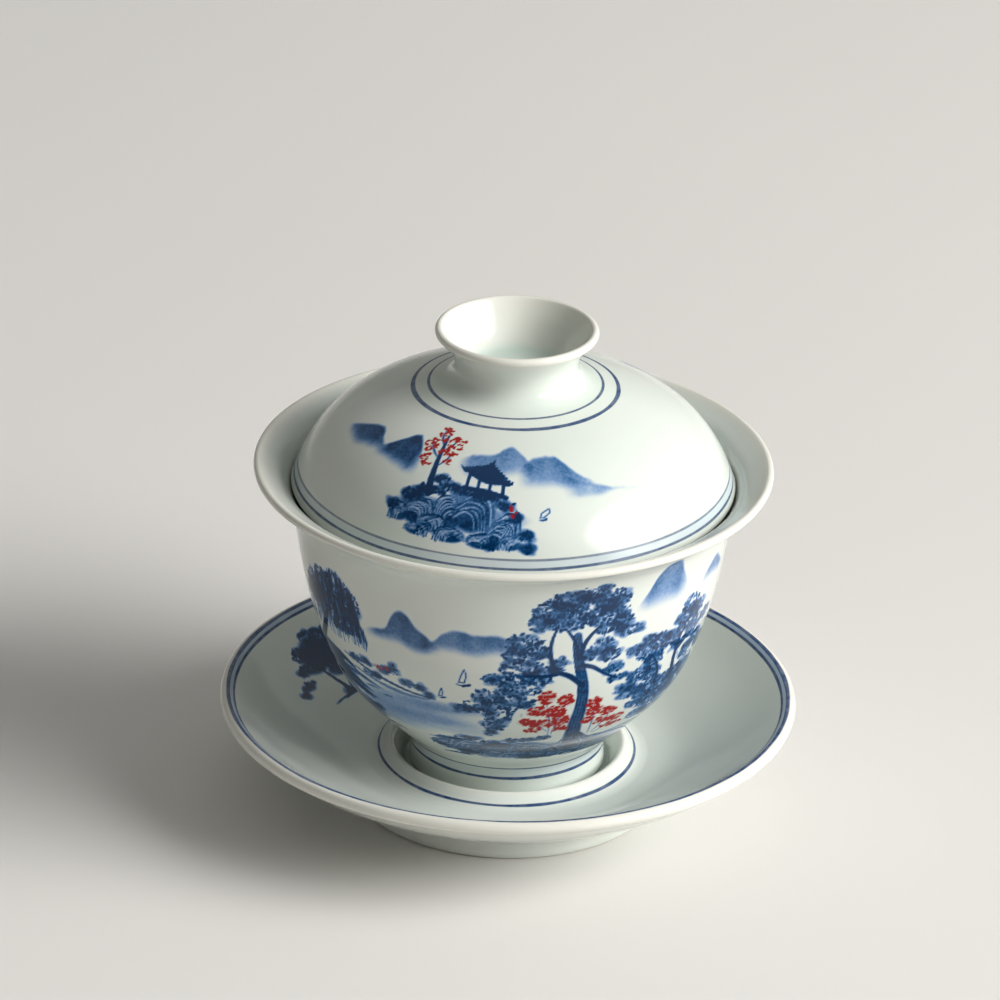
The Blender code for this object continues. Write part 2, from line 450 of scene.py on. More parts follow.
def bowl_far_hills(canvas):
    canvas.hill([(-44, 43), (-39, 44.2), (-35.5, 45.2), (-33, 48.4), (-30.5, 50.2), (-28, 49.6),
        (-25.5, 47), (-22.5, 45.6), (-18, 43)], 42.8, 0.64)
    canvas.hill([(-27, 43), (-21.5, 44.6), (-17.5, 47.4), (-14, 48.4), (-9, 47.6), (-3, 47.9),
        (3, 46.4)], 43.8, 0.52)
    canvas.hill([(34, 50.5), (38, 54.2), (40.5, 58), (43, 60.2), (47, 60), (50, 56.5),
        (54, 52)], 52, 0.5, 0.55, 2.6)
    canvas.hill([(60, 50), (64, 52.6), (68, 54.4), (72, 52.5), (77, 49)], 50.4, 0.42)
    canvas.washes(((-34, 26, 11, 3.4, 0.3), (-42, 22, 8, 3, 0.24), (-18, 22.6, 7, 1.8, 0.14),
        (-20, 28.4, 8, 1.3, 0.26), (-24, 24.4, 8, 1.2, 0.16)))


def bowl_far_shore(canvas):
    canvas.line([(-56, 33.8), (-47, 32.6), (-38, 31.5), (-30, 30.6), (-22, 30.2)], 0.7, 0.85)
    canvas.line([(-52, 31.4), (-42, 30.2), (-32, 29.6), (-24, 29.8)], 1, 0.45)
    canvas.pads(((-50, 34, 1.9, 0.9), (-46, 34.2, 1.4, 1), (-39, 34.2, 2.2, 1), (-35, 35.2, 1.2, 1.5),
        (-31, 32.6, 1.7, 0.8), (-27, 32.4, 0.9, 1.2), (-24, 31, 1.1, 0.6), (-44, 31.8, 3, 0.7)),
        leaves=3, leaf=0.36)
    canvas.red_leaves(-40.5, 34.3, 1.1, 0.6, 8, 0.34, (0.4, 0.8))
    canvas.red_leaves(-37.5, 35, 0.6, 0.5, 5, 0.34, (0.4, 0.9))


def bowl_willow(canvas):
    """The drooping tree at the left: a domed crown made of hanging strands."""
    chance = canvas.chance.uniform
    trunk = [(-73, 31), (-70, 33.5), (-66, 36.5), (-62.5, 40), (-60, 43)]
    canvas.line(trunk, 1.7, 0.95, taper=(1.3, 1, 0.7))
    crown = smooth_path([(-74.5, 41), (-71, 46), (-66, 50), (-60, 52.2), (-54, 53.8), (-49, 52.2),
        (-45.5, 49), (-44.4, 45)])
    for _ in range(150):
        angle = chance(-74, -44.8)
        top = float(np.interp(angle, crown[:, 0], crown[:, 1]))
        floor = 38.5 + 3 * chance(0, 1) + max(0, -60 - angle) * 0.25
        start = chance(floor + 2, top) if top > floor + 2 else top
        end = max(floor, start - chance(2.5, 6))
        sway = chance(-1.2, 0.8)
        canvas.line([(angle, start), (angle + sway * 0.5, (start + end) / 2), (angle + sway, end)],
                    chance(0.5, 1.1), chance(0.35, 0.6), 0.3, "over")
    canvas.pads(((-67, 46.5, 3.8, 2.6), (-61, 48.5, 3.9, 3.2), (-54, 49.5, 4.3, 3.6),
        (-48.5, 47, 2.9, 3.6), (-55, 44.5, 4.6, 2.6), (-49, 42, 2.5, 2.6), (-63, 44, 2.6, 1.6),
        (-54.5, 40.5, 3, 1.6)), body=0.5, leaves=2.8)
    for _ in range(80):
        angle = chance(-76.5, -43.5)
        top = float(np.interp(angle, crown[:, 0], crown[:, 1])) - chance(0.5, 4)
        end = 36.5 + 3.5 * chance(0, 1)
        canvas.line([(angle, max(top, end + 2)), (angle + 0.3, (top + end) / 2),
            (angle - 0.3, end)], chance(0.3, 0.5), chance(0.5, 0.9), 0.15, "most", (0.5, 1, 0.2))


def bowl_left_bank(canvas):
    """The dark bank under the willow, in long strokes that sweep down to the right."""
    chance = canvas.chance.uniform
    for _ in range(70):
        start = chance(-108, -58)
        level = chance(17, 33)
        end = min(start + chance(12, 26), -42 + 8 * chance(-0.8, 1))
        drop = chance(0.08, 0.16) * (end - start)
        if level - drop < 15.5 or end - start < 7:
            continue
        canvas.line([(start, level), ((start + end) / 2, level - drop * 0.35), (end, level - drop)],
                    chance(0.6, 1.7), chance(0.45, 1), 0.25, "most", (0.5, 1, 0.1))
    canvas.washes(((-72, 30.2, 8.5, 2.2, 0.62), (-66, 27, 9, 2, 0.5), (-78, 22, 9, 2.6, 0.5),
        (-62, 20.2, 7, 1.8, 0.55)), -6, 0.4)
    canvas.washes(((-90, 26, 8, 3.4, 0.5), (-99, 22.6, 6, 2.8, 0.4)), 0, 0.5)
    canvas.rocks(((-102, 18.6, 3.8, 2.4), (-93, 20, 5, 3.2), (-82, 18.6, 5, 3), (-72, 17.6, 4.4, 2.4)),
        0.6, 5, (0.75, 1), 0.4, -1)
    canvas.pads(((-92, 30.6, 3.6, 1.3), (-84, 32.4, 3.6, 1.6), (-77, 32, 3, 1.2), (-101, 27, 3, 1.4),
        (-106, 23.2, 2.6, 1.6), (-96, 29, 2.6, 1)), body=0.6, leaves=2.8)
    canvas.foliage(-66, 31.5, 5, 1.2, -6, body=0.6, leaves=2.6)
    canvas.foliage(-58, 28.4, 4.2, 1, -4, body=0.5, leaves=2.4)
    canvas.foliage(-50, 21.8, 2.2, 1.3, 10, body=0.6, leaves=2.8)
    for angle, level, wide in ((-46, 28, 3), (-40, 27.2, 2.4), (-50, 24.6, 3.6)):
        canvas.line([(angle - wide, level - 0.2), (angle, level + 0.1), (angle + wide, level)], 0.6, 0.55)


def bowl_near_ground(canvas):
    """The rocky ground along the front, just above the bowl's foot."""
    chance = canvas.chance.uniform
    canvas.washes(((-17, 16, 6, 2.6, 0.5), (-2, 15.4, 7, 3.2, 0.55), (14, 15.8, 7, 3.6, 0.55),
        (28, 16, 6.5, 3.4, 0.55), (44, 16.4, 7, 3.6, 0.55), (60, 16.8, 7.5, 3.8, 0.55),
        (76, 17.2, 7.5, 3.8, 0.55)), 0, 0.3)
    for angle, level, wide, tall in ((-24, 16.2, 3.6, 1.9), (-14, 17.4, 4.6, 2.4), (-2, 16.2, 4.8, 2.4),
            (9, 17.2, 4.6, 2.9), (20, 16.4, 4.4, 2.6), (34, 17, 4.8, 2.8), (47, 17.2, 5, 3),
            (60, 17.6, 5, 3.2), (74, 18, 5.2, 3.4), (84, 17.6, 4.4, 3), (-8, 14.4, 4.8, 1.7),
            (6, 14, 4.8, 1.7), (24, 14, 4.8, 1.7), (42, 14.4, 5, 1.8)):
        canvas.rock(angle, level, wide, tall, 0.55, 4, (0.7, 1), 0.4, 1 if chance(0, 1) > 0.35 else -1)
    for _ in range(110):
        angle, level, reach = chance(-28, 86), chance(12.4, 18.6), chance(3, 8)
        rise = chance(-0.3, 0.5)
        canvas.line([(angle - reach, level - 0.2), (angle, level + rise), (angle + reach, level)],
                    chance(0.3, 0.6), chance(0.6, 1), 0.2, "most", (0.4, 1, 0.2))
    canvas.pads(((-22, 18.6, 2.4, 0.9), (-14, 20, 2.6, 0.9), (-5, 19, 2.6, 1), (3, 20.2, 2.6, 1.1),
        (-3, 18.2, 3, 0.8), (11, 20.8, 2.4, 1), (-28, 15.6, 1.4, 1), (-18, 14, 2.4, 0.8),
        (16, 12.8, 5, 0.7), (40, 13, 5, 0.7), (60, 13.4, 5, 0.8)), body=0.6, leaves=2.6)


def bowl_great_pine(canvas):
    """The tall pine: its pads of needles first, then the trunk and limbs, with pale gaps between."""
    crown = ((16, 56.2, 5.6, 2.4), (22, 57.8, 4, 1.8), (11, 53.8, 4.6, 2.6), (21, 54.2, 6.4, 2.8),
        (28.5, 55, 3, 2.6), (8.5, 51.2, 2.8, 2), (15.5, 51.2, 5.2, 2.2), (26, 51.6, 5.4, 2.6),
        (31, 49.2, 2.6, 2.6), (34, 46.6, 3.2, 1.2), (28, 48.2, 3.6, 1.4))
    left = ((3.6, 46.2, 3.4, 2.6), (8, 44.8, 2.8, 2.4), (1.5, 43.2, 2.4, 1.8), (4, 40.2, 4.8, 2.2),
        (-3, 37.6, 3.2, 1.5), (8, 38, 3.6, 2.4), (3, 35.2, 4.8, 2.2), (-6, 32.8, 3.2, 2),
        (2, 31.4, 4.2, 2), (-9, 30.2, 3.2, 1.8), (-2, 28.2, 3.6, 2), (-4.5, 25.2, 2.3, 2.2),
        (-6, 22.6, 1.1, 1.3), (13.5, 41, 2, 2.2), (-14, 29, 2.4, 1.2))
    right = ((25.5, 44.2, 3, 2), (28.5, 41.8, 2.3, 1.8), (22.5, 42.6, 1.8, 1.5), (30.5, 38.2, 2.4, 1.3),
        (32.5, 35.2, 2.3, 1))
    canvas.pads(crown + left + right)
    for angle, level, wide, tall, tilt in ((13.4, 45.4, 1.7, 3, 75), (21.4, 46.2, 1.7, 1.7, 60),
            (16.2, 35.6, 2.1, 2.4, 80), (25.6, 36.4, 1.1, 3.2, 100), (2.6, 27, 0.9, 2.6, 85),
            (3.5, 22.8, 1.2, 1.8, 85)):
        canvas.wash(angle, level, tall, wide, 0.98, tilt, 0.2, "lift")
    trunk = [(25.5, 15.5), (22.8, 20), (22, 24.5), (22.4, 29.5), (21.8, 34.5), (20, 39.5), (18.8, 43.5),
        (18.2, 47.5)]
    canvas.line(trunk, 2.3, 0.72, 0.25, "most", (1.7, 1, 0.7))
    for shift, tone in ((-1.9, 1), (-0.7, 0.9), (0.6, 0.85), (1.7, 1)):
        edge = [(angle + shift * (1 - 0.05 * (level - 20) / 3), level) for angle, level in trunk]
        canvas.line(edge, 0.42, tone, 0.12, "most", (1.2, 1, 0.8))
    limbs = (([(21.6, 35), (17.5, 37.6), (13.4, 39.4), (11.4, 42.5), (11.2, 46.5), (12.8, 50.5)], 0.75),
        ([(19.2, 42), (20.8, 46), (24.5, 49.5)], 0.7),
        ([(20.4, 40.2), (24, 39.2), (28, 37), (32.5, 35.2)], 0.6),
        ([(14.6, 38.8), (9, 38.2), (4, 39)], 0.6), ([(19, 43), (17.4, 46.5), (14.8, 49.5)], 0.5))
    for places, width in limbs:
        canvas.line(places, 1.35 * width, 0.98, taper=(1.3, 0.9, 0.4))
    for spread in (-9, -5.5, -2.5, 2, 5.5, 9.5, 14):
        canvas.line([(22.6 + spread * 0.12, 21.5), (23.6 + spread * 0.5, 18.6), (25 + spread, 16.4)],
                    0.7, 0.85, taper=(1, 0.8, 0.2))
    bowl_maples(canvas)


def bowl_maples(canvas):
    """Red bushes either side of the pine's trunk, on thin blue twigs."""
    for angle, level, wide, tall, count in ((11.5, 32.6, 1.7, 1.9, 20), (17.2, 31.4, 1.6, 1.8, 19),
            (8.6, 29, 2, 1.5, 17), (14, 28.6, 2.4, 1.7, 24), (6.2, 26, 2, 1.1, 14),
            (10.6, 25.4, 2.3, 1.4, 18), (16.6, 26, 1.9, 1.9, 20), (8, 23.6, 1.7, 0.8, 9),
            (17, 23.6, 1.5, 1, 9), (26.6, 29.8, 1.7, 1.4, 15), (28, 27.2, 2.1, 1.4, 18),
            (26.2, 25, 1.3, 1.2, 10), (33.2, 26.4, 1.9, 1.2, 14), (32, 24, 2.2, 1.2, 14),
            (37, 23.6, 2.2, 1.2, 12), (39, 21.6, 1.8, 0.8, 8), (35, 21.8, 1.8, 0.8, 8)):
        canvas.dab(canvas.red, angle, canvas.at(level), 0.9 * wide, 0.75 * tall, 0, 0.4, 0.5)
        canvas.red_leaves(angle, level, wide, tall, int(1.7 * count), 0.43, (0.8, 1))
    for twig in ([(13.5, 22), (13, 26), (11.5, 31)], [(14.5, 22), (15.5, 26), (17.5, 31)],
            [(13, 23), (9.5, 25), (6, 26.5)], [(28.5, 20.5), (28, 24), (27, 29)],
            [(30, 20.5), (32, 23), (34, 26)], [(31, 20), (35, 22), (38, 23.5)]):
        canvas.line(twig, 0.35, 0.5)


def bowl_right_grove(canvas):
    """The lower trees to the right of the pine, above a bank of leaves."""
    pads = ((57.5, 46.8, 3, 2.2), (56, 44.4, 3.6, 2), (62.5, 44.6, 2.6, 2), (59, 42, 4.2, 1.8),
        (41.5, 42, 3, 1.7), (37, 41, 2.2, 1.4), (46.5, 41.4, 3, 1.9), (43.5, 39, 4, 1.6),
        (51.5, 40.4, 3.4, 1.9), (55, 38.2, 3.2, 1.3), (62, 39.2, 3, 1.6), (45.5, 36.4, 3, 1.9),
        (40.5, 34.2, 2.8, 1.8), (46, 33.2, 2.8, 1.7), (36.5, 31.6, 2.3, 1.6), (61.5, 34.6, 3.2, 1.9),
        (66, 36.4, 2.8, 2), (69, 41, 2.4, 1.6), (72, 34, 3, 2))
    bank = ((40, 30.2, 3.8, 2), (46, 29.6, 4.2, 2.4), (52.5, 29.4, 4, 2.5), (59, 29.6, 4, 2.5),
        (65, 30.4, 3.8, 2.5), (44.5, 26.4, 3.4, 2.1), (51, 25.6, 4.2, 2.4), (58, 25.4, 4.2, 2.5),
        (65, 25.8, 4, 2.5), (72, 27, 3.8, 2.7), (72, 22.6, 4, 2.6), (80, 22, 4, 2.6),
        (48.5, 22.2, 3.4, 1.5), (57, 21.6, 4, 1.7), (65, 21.4, 4, 1.7), (80, 26.5, 3.6, 2.2))
    canvas.pads(pads)
    canvas.pads(bank, body=0.55, leaves=2.4, dark=(0.5, 0.9))
    canvas.wash(52, 34.4, 2.4, 1.1, 0.95, 80, 0.2, "lift")
    canvas.wash(58, 36, 1.4, 0.6, 0.9, 70, 0.2, "lift")
    for places, width in (([(58.5, 28.5), (57, 31), (55.5, 34.5), (55.2, 38), (57, 43)], 1.1),
            ([(55.2, 37.5), (51, 39.2), (46, 39.6)], 0.6), ([(55.6, 36), (60, 38.4), (64, 40)], 0.6),
            ([(49.5, 29.8), (48.6, 33), (46, 36.5), (43, 38.5)], 0.7),
            ([(48.4, 33.5), (44, 34.4), (40, 34)], 0.5)):
        canvas.line(places, width, 0.95, taper=(1.1, 1, 0.5))


def bowl_back(canvas):
    """The far side: open water, distant hills, three boats, a wooded spit and rocks."""
    canvas.hill([(90, 44), (100, 47.5), (106, 51.5), (112, 49.5), (119, 45.6), (127, 43)], 44, 0.42)
    canvas.hill([(118, 42.5), (128, 46.5), (136, 48.6), (146, 46.4), (156, 43.6), (165, 41.5)], 42.8, 0.36)
    canvas.hill([(174, 42), (186, 46), (193, 50.5), (199, 52.5), (206, 48.6), (214, 44.8),
        (223, 42)], 43.2, 0.44)
    canvas.hill([(213, 43), (224, 45.8), (233, 47), (243, 44.4), (251, 42)], 43, 0.34)
    canvas.washes(((120, 27, 16, 2.4, 0.14), (150, 24, 15, 2, 0.12), (200, 27, 18, 2.6, 0.15),
        (232, 23, 12, 2, 0.14), (176, 20, 12, 1.6, 0.1)))
    canvas.line([(150, 33.6), (163, 32.6), (178, 32.2), (194, 32.8), (206, 33.6)], 0.8, 0.8)
    canvas.line([(156, 31.6), (172, 30.8), (190, 31.2)], 1, 0.4)
    canvas.pads(((158, 34.6, 2.2, 1), (165, 34.8, 1.8, 1.5), (170, 33.8, 2.2, 0.9), (178, 34.2, 2.6, 1.2),
        (184, 35.4, 1.9, 2), (191, 34.2, 2.4, 1), (199, 34.6, 1.8, 0.9)), leaves=2.8, leaf=0.38)
    canvas.red_leaves(174, 34.8, 1.4, 0.7, 10, 0.36, (0.4, 0.9))
    canvas.boat(138, 33.6, 3)
    canvas.boat(129.5, 30, 2)
    canvas.boat(218, 32.8, 2.6, 0.2)
    canvas.rocks(((96, 18.2, 4.6, 3.2), (107, 17, 4.2, 2.8), (118, 16, 3.8, 2.2), (232, 16, 3.6, 2),
        (243, 16.8, 4.4, 2.8)), 0.5, 6, (0.7, 1), 0.45)
    canvas.pads(((90, 23.4, 3.8, 2.2), (99, 22, 3.4, 1.8), (110, 20.2, 3, 1.2), (236, 19.4, 2.6, 1.1),
        (246, 20.6, 3.2, 1.6)), body=0.5, leaves=2.6)


# ======== the lid's landscape
def paint_lid(canvas):
    lid_hills(canvas)
    lid_island(canvas)
    lid_pavilion(canvas)
    lid_maple(canvas)
    lid_back(canvas)
    canvas.boat(8.6, 39, 1.5, 0.9)


def lid_hills(canvas):
    canvas.hill([(-84, 36), (-78, 33.6), (-72, 31.6), (-66, 29.8), (-61, 29.2), (-56, 31),
        (-50, 33)], 33, 0.66)
    canvas.hill([(-56, 33), (-51.5, 30.8), (-48, 28.8), (-44, 26.9), (-40.5, 27.6), (-37, 30),
        (-34, 33.4)], 33.6, 0.8)
    canvas.hill([(-22, 29.6), (-16, 28), (-9, 27.6), (-5, 26.4), (-1, 25.2), (2.5, 26.8),
        (9, 30.6)], 31.4, 0.4)
    canvas.hill([(1, 31), (5, 29), (9, 28), (16, 28), (19, 29.6), (22, 31.8), (27, 34), (33, 35.6),
        (47, 37.8)], 33.6, 0.42)
    canvas.hill([(16, 32), (22, 33.2), (27, 34.4), (33, 35.6), (46, 37.2)], 36.4, 0.26, 0.4, 0.8)


def lid_island(canvas):
    """The rocky island: pale and dark domed strokes over blue rock, with dark scrub along its top."""
    canvas.washes(((-16, 39.2, 12.6, 2.6, 0.4), (-26, 38.8, 6.5, 2.4, 0.34), (-4, 40.2, 4.2, 1.9, 0.4),
        (-11, 36.6, 5.6, 1.9, 0.5)), 0, 0.22)
    for angle, level, wide, tall, way in ((-1.5, 39.8, 2.6, 2.6, 1), (-33.5, 39.9, 2.4, 1.9, -1),
            (-28, 39.3, 3.6, 2.9, 1), (-19, 38.9, 3.4, 3.7, -1), (-11.5, 38.4, 4.4, 4.1, 1),
            (-23.5, 40.4, 3.2, 1.9, 1), (-27, 41.3, 2.6, 1.2, 1), (-17.5, 41.3, 3.2, 1.5, -1),
            (-8.5, 41.5, 3, 1.6, 1), (-3.4, 40.7, 2.8, 2.4, 1), (-0.5, 41.6, 2.4, 1.4, -1),
            (2.6, 41.4, 1.8, 1.7, 1)):
        canvas.rock(angle, level, wide, tall, 0.78, 6, (0.85, 1), 0.5, way)
    canvas.pads(((-33, 37.4, 1.3, 1.1), (-28.5, 36, 1.5, 0.9), (-23.5, 34.3, 1.7, 1.3),
        (-20, 35, 1.6, 1.1), (-14, 35.5, 2.8, 0.7), (-8, 35.9, 2.8, 0.8), (-2, 37, 1.4, 1.1),
        (-36.5, 39.4, 1, 0.8), (3.6, 40.8, 1.4, 1), (-25, 36, 2.2, 0.7), (-30.5, 37, 1.2, 0.8),
        (0.8, 38.6, 1, 1.2), (-6, 42, 1.2, 0.5), (4.2, 42.2, 1.2, 0.7)),
        body=0.8, leaves=3.6, dark=(0.85, 1))
    canvas.red_leaves(0.2, 37.8, 0.7, 1.2, 7, 0.36, (0.8, 1))


def lid_pavilion(canvas):
    """An open pavilion: a swept roof with upturned eaves on four slim posts."""
    for k in range(9):
        share = k / 8
        left = (-18.6 + 9.6 * share, 31 - 1.2 * share)
        right = (-0.6 - 7.6 * share, 33.4 - 4 * share)
        middle = ((left[0] + right[0]) / 2 + 0.3, (left[1] + right[1]) / 2 + 0.75 * (1 - share) + 0.1)
        canvas.line([left, middle, right], 0.95, 0.98, taper=(0.5, 1.2, 0.5))
    canvas.line([(-8.3, 30.4), (-7.6, 29.2), (-7.2, 28.6)], 0.5, 1)
    canvas.line([(-19.4, 30.6), (-17.5, 31.5), (-15, 31.9)], 0.5, 1)
    canvas.line([(-4, 33.5), (-1.6, 33.6), (-0.2, 33)], 0.5, 1)
    for angle, top in ((-15.2, 32), (-11.4, 32.6), (-7.6, 33.2), (-3.2, 33.6)):
        canvas.line([(angle, top), (angle - 0.2, 35.2)], 0.55, 1, taper=(1.2, 1, 1.2))
    canvas.line([(-16.2, 34.7), (-9, 35), (-2.2, 35.8)], 1.1, 1, taper=(0.8, 1, 0.8))


def lid_maple(canvas):
    trunk = [(-26.8, 36.6), (-27.8, 34.6), (-28.4, 32.6), (-29.2, 30), (-30, 27.4), (-31, 24.8)]
    canvas.line(trunk, 1, 1, taper=(1.5, 0.9, 0.4))
    for places in ([(-28.4, 32), (-26.2, 30.4), (-25, 29)], [(-29, 30.4), (-32.5, 29), (-35.5, 27.4)],
            [(-29.6, 28.8), (-27, 27), (-25.4, 25.2)], [(-30, 27.4), (-33, 25.6), (-34.2, 23.6)]):
        canvas.line(places, 0.45, 0.75)
    for angle, level, count in ((-33.8, 23.2, 5), (-31.6, 24, 5), (-34.2, 25, 4), (-26.4, 25.2, 9),
            (-23.6, 25, 4), (-35.2, 26.8, 8), (-37, 27.6, 4), (-33.2, 27.6, 5), (-27, 27.2, 6),
            (-23.4, 26.8, 4), (-35.6, 28.8, 5), (-30.6, 26, 5), (-26, 28.6, 5), (-24.4, 28.6, 3),
            (-33.6, 30.4, 5), (-35, 30.8, 3), (-25.4, 30.6, 5), (-32.8, 31.8, 5), (-29, 28.8, 5)):
        canvas.red_leaves(angle, level, 0.95, 0.7, int(1.7 * count) + 2, 0.33, (0.85, 1))


def lid_back(canvas):
    """Round the back: a second range of hills, an islet and a pair of boats."""
    canvas.hill([(112, 36), (124, 32), (131, 29), (138, 31), (146, 34.5), (156, 36.5)], 36.2, 0.5)
    canvas.hill([(148, 35.5), (158, 32.6), (166, 31.4), (176, 33.6), (188, 36.4)], 36, 0.42)
    canvas.hill([(206, 37), (214, 33.6), (221, 31.8), (229, 34), (240, 37)], 36.6, 0.44)
    canvas.rocks(((170, 40.2, 3.4, 1.6), (178, 40, 3.8, 2), (186, 40.6, 2.8, 1.3)), 0.5, 6, (0.7, 1), 0.45)
    canvas.pads(((168, 39, 1.6, 0.8), (175, 38.2, 2, 0.9), (182, 38.4, 1.8, 0.9), (189, 39.8, 1.4, 0.6)),
        body=0.5)
    canvas.boat(150, 39.4, 1.7, 0.5)
    canvas.boat(202, 39.6, 1.5, 0.4)


# ======== the saucer's sprig
def paint_saucer(canvas):
    """A dark clump of trees on a low bank, at the back left of the dish."""
    for angle, level, wide, tall in ((-133, 49.2, 3.8, 2.6), (-129, 46.4, 4.4, 3), (-125, 49, 4.4, 2.8),
            (-121, 46.2, 3.6, 2.2), (-127, 43.4, 3.4, 1.8)):
        canvas.wash(angle, level, wide, tall, 0.9, 0, 0.25, "most")
    canvas.pads(((-136, 47.8, 2.6, 1.8), (-133, 50.8, 3, 1.8), (-126, 51.2, 3.2, 1.6),
        (-119, 49.2, 2.4, 1.6), (-137, 45, 2.2, 1.5), (-116, 46.4, 2.2, 1.4), (-125, 47.2, 5.4, 3.4),
        (-112, 43.8, 2.4, 0.8), (-107, 43, 1.4, 0.6), (-132, 46.4, 3, 2.4)),
        body=0.9, leaves=2.8, dark=(0.9, 1), leaf=0.5)
    for trunk in ([(-127, 44.8), (-126, 40.8), (-124, 37.8)],
            [(-121, 45.3), (-122, 41.3), (-123, 37.8)], [(-132, 44.8), (-129, 40.8), (-126, 38.2)]):
        canvas.line(trunk, 0.8, 1, taper=(0.7, 1, 1.4))
    canvas.line([(-134, 38), (-124, 37.4), (-112, 37.8)], 0.9, 0.9, taper=(0.3, 1, 0.2))
    canvas.foliage(-125, 38.4, 3.6, 0.7, body=0.6)


# ======== materials
def to_linear(colour):
    """An 8-bit display colour as the linear values the shader works in."""
    shares = [c / 255.0 for c in colour]
    return tuple(c / 12.92 if c <= 0.04045 else ((c + 0.055) / 1.055) ** 2.4 for c in shares) + (1.0,)


class Nodes:
    """Short ways to add shader nodes to a material or to the world."""

    def __init__(self, owner):
        owner.use_nodes = True
        self.tree = owner.node_tree
        self.shader = self.tree.nodes.get("Principled BSDF")

    def add(self, kind, **settings):
        node = self.tree.nodes.new(kind)
        for name, value in settings.items():
            setattr(node, name, value)
        return node

    def link(self, source, socket):
        self.tree.links.new(source, socket)

    def put(self, socket, value):
        """Sets a socket, or links it when the value is another node's output."""
        if isinstance(value, bpy.types.NodeSocket):
            self.link(value, socket)
        else:
            socket.default_value = value

    def attribute(self, name):
        return self.add("ShaderNodeAttribute", attribute_name=name).outputs["Fac"]

    def math(self, operation, a, b=0.0, clamp=False):
        node = self.add("ShaderNodeMath", operation=operation, use_clamp=clamp)
        self.put(node.inputs[0], a)
        self.put(node.inputs[1], b)
        return node.outputs[0]

    def remap(self, value, low, high, out_low, out_high):
        node = self.add("ShaderNodeMapRange")
        for socket, setting in zip(node.inputs, (value, low, high, out_low, out_high)):
            self.put(socket, setting)
        return node.outputs[0]

    def noise(self, scale, detail=3.0, roughness=0.5):
        node = self.add("ShaderNodeTexNoise")
        self.link(self.place(), node.inputs["Vector"])
        node.inputs["Scale"].default_value = scale
        node.inputs["Detail"].default_value = detail
        node.inputs["Roughness"].default_value = roughness
        return node.outputs["Fac"]

    def varied(self, scale, detail, roughness, low, high):
        """Noise about this fine, spread over low to high."""
        return self.remap(self.noise(scale, detail, roughness), 0.3, 0.7, low, high)

    def times(self, a, b, clamp=False):
        return self.math("MULTIPLY", a, b, clamp)

    def place(self):
        return self.add("ShaderNodeTexCoord").outputs["Object"]

    def ramp(self, value, stops):
        """A colour ramp of (position, linear colour) stops."""
        node = self.add("ShaderNodeValToRGB")
        elements = node.color_ramp.elements
        while len(elements) < len(stops):
            elements.new(0.5)
        for element, (position, colour) in zip(elements, stops):
            element.position = position
            element.color = (*colour[:3], 1.0)
        self.put(node.inputs[0], value)
        return node.outputs["Color"]

    def mix(self, share, a, b, blend="MIX"):
        node = self.add("ShaderNodeMix", data_type="RGBA", blend_type=blend)
        self.put(node.inputs["Factor"], share)
        self.put(node.inputs["A"], a)
        self.put(node.inputs["B"], b)
        return node.outputs["Result"]


COBALT_STOPS = ((0.0, (1.0, 1.0, 1.0)), (0.15, (0.60, 0.70, 0.90)), (0.35, (0.26, 0.41, 0.75)),
    (0.60, (0.060, 0.185, 0.45)), (0.85, (0.010, 0.078, 0.24)), (1.0, (0.002, 0.034, 0.125)))
RING_BLUE = to_linear((0, 54, 104))
IRON_RED = to_linear((150, 16, 15))
BARE_CLAY = to_linear((222, 214, 200))
BAND_FADE, RING_FADE = 0.3, 0.16     # millimetres over which the edges of bands and rings fade
GLAZE_IOR = 1.42


def porcelain(name, colours, rings, band):
    """Glazed porcelain with cobalt under the glaze.

    The 8-bit colours are the body's white, the celadon where the glaze pools and the cream where
    it is thin.  The rings are (track, width, strength) lines round the piece, measured along the
    outline in millimetres, and the band is the strength of the pale wash between the first two.
    """
    white, celadon, cream = (to_linear(colour) for colour in colours)
    material = bpy.data.materials.new(name)
    nodes = Nodes(material)
    cloud = nodes.noise(28.0, 3.0, 0.55)
    body = nodes.mix(nodes.remap(cloud, 0.35, 0.7, 0.0, 0.35), white, celadon)
    body = nodes.mix(nodes.attribute("pool"), body, celadon)
    body = nodes.mix(nodes.attribute("thin"), body, cream)
    cobalt = cobalt_amount(nodes, rings[0][0], rings[1][0], band)
    body = nodes.mix(1.0, body, nodes.ramp(cobalt, COBALT_STOPS), "MULTIPLY")
    body = nodes.mix(red_amount(nodes), body, IRON_RED)
    body = nodes.mix(ring_amount(nodes, rings), body, RING_BLUE)
    body = nodes.mix(nodes.attribute("bare"), body, BARE_CLAY)
    nodes.link(body, nodes.shader.inputs["Base Color"])
    glaze(nodes)
    return material


def cobalt_amount(nodes, start, end, strength):
    """Cobalt as brushed on, with the grain of pigment in it, and the pale band from start to end."""
    amount = nodes.attribute("cobalt")
    grain = nodes.varied(1500.0, 3.0, 0.6, 0.96, 1.3)
    drift = nodes.varied(260.0, 2.0, 0.5, 0.9, 1.1)
    amount = nodes.times(nodes.times(amount, grain), drift, clamp=True)
    return nodes.math("MAXIMUM", amount, band_amount(nodes, start, end, strength))


def band_amount(nodes, start, end, strength):
    track = nodes.attribute("track")
    opening = nodes.remap(track, start, start + BAND_FADE, 0.0, 1.0)
    inside = nodes.times(opening, nodes.remap(track, end - BAND_FADE, end, 1.0, 0.0))
    thick = nodes.varied(70.0, 3.0, 0.6, 0.6 * strength, 1.15 * strength)
    return nodes.times(inside, thick)


